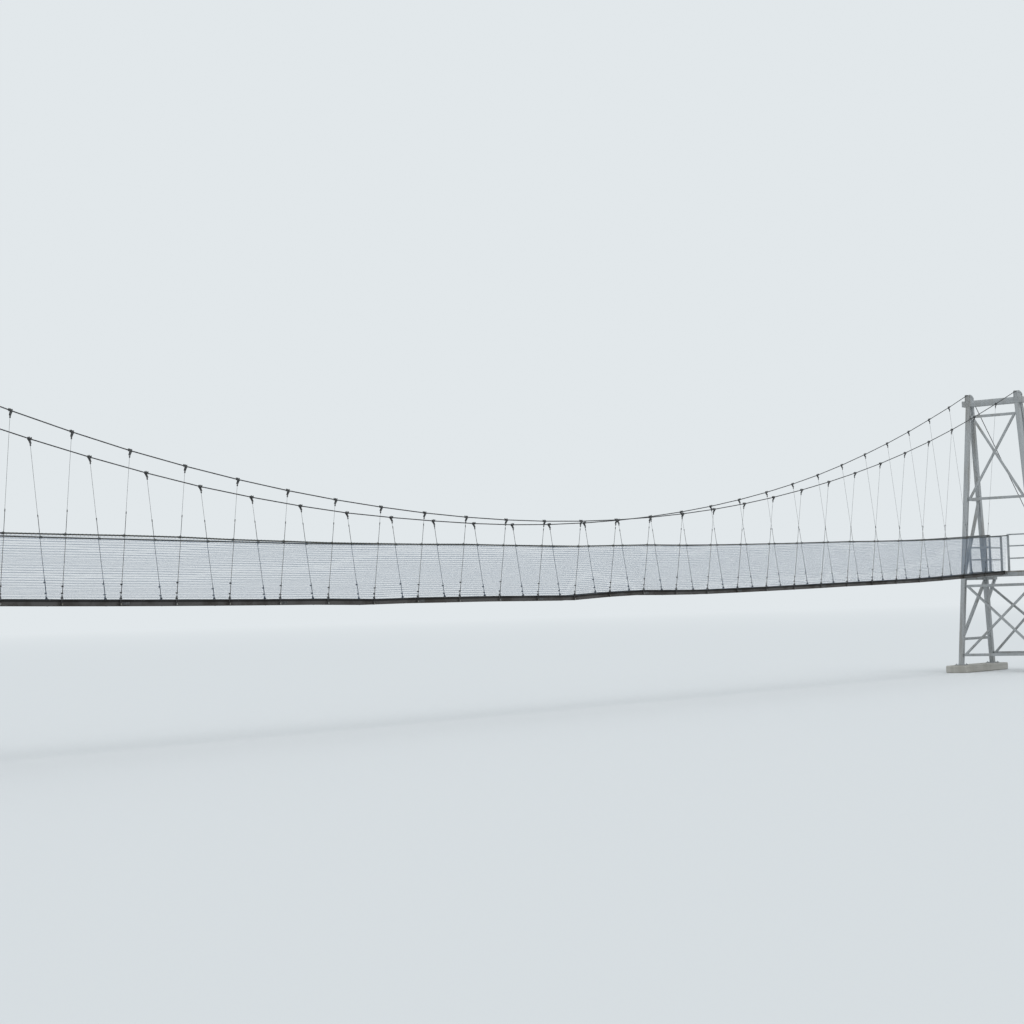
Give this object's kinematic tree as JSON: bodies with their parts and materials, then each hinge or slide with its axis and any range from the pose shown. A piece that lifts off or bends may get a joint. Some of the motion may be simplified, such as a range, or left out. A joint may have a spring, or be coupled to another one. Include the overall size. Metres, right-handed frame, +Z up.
{
  "type": "rope suspension footbridge, 1:2 scale model",
  "caption": "Scale model of a narrow suspension footbridge: cables over steel trestle towers, V hangers, hand ropes and side nets on a slim walkway.",
  "frame": {"origin": "on the ground under mid-span, at the centre of the bounding box's underside", "axes": "+X along the bridge to the right as the picture shows it, +Y away from the viewer across the bridge, +Z up"},
  "size_m": [36.0952, 1.9716, 4.7552],
  "materials": {
    "wire_rope": "dark weathered steel wire rope, dull",
    "hand_rope": "dark laid rope, matt",
    "netting": "thin grey netting twine, matt",
    "walkway_frame": "weathered aluminium with brown-grey dirt, dull",
    "galvanised_steel": "hot-dip galvanised steel, dull grey with faint spangle",
    "landing_boards": "ribbed aluminium boards, weathered",
    "concrete": "cast concrete, matt, lightly stained"
  },
  "bodies": {
    "root": {"main_cable_near": "wire_rope", "main_cable_far": "wire_rope", "hand_rope_near": "hand_rope", "hand_rope_far": "hand_rope", "net_near_1": "netting", "net_near_2": "netting", "net_near_3": "netting", "net_far_1": "netting", "net_far_2": "netting", "net_far_3": "netting", "deck_section_01": "walkway_frame", "deck_section_02": "walkway_frame", "deck_section_03": "walkway_frame", "deck_section_04": "walkway_frame", "deck_section_05": "walkway_frame", "deck_section_06": "walkway_frame", "deck_section_07": "walkway_frame", "deck_section_08": "walkway_frame", "deck_section_09": "walkway_frame", "deck_section_10": "walkway_frame", "deck_section_11": "walkway_frame", "deck_section_12": "walkway_frame", "saddle_beam_left": "galvanised_steel", "saddle_beam_right": "galvanised_steel", "portal_brace_left": "galvanised_steel", "portal_brace_right": "galvanised_steel", "front_brace_left": "galvanised_steel", "front_brace_right": "galvanised_steel", "rear_brace_left": "galvanised_steel", "rear_brace_right": "galvanised_steel", "landing_left": "landing_boards", "landing_right": "landing_boards", "trestle_left_near": "galvanised_steel", "trestle_left_far": "galvanised_steel", "trestle_right_near": "galvanised_steel", "trestle_right_far": "galvanised_steel", "guard_rail_left_near": "galvanised_steel", "guard_rail_left_far": "galvanised_steel", "guard_rail_right_near": "galvanised_steel", "guard_rail_right_far": "galvanised_steel", "footing_left_near": "concrete", "footing_left_far": "concrete", "footing_right_near": "concrete", "footing_right_far": "concrete", "anchor_block_left": "concrete", "anchor_block_right": "concrete"}
  },
  "joints": []
}
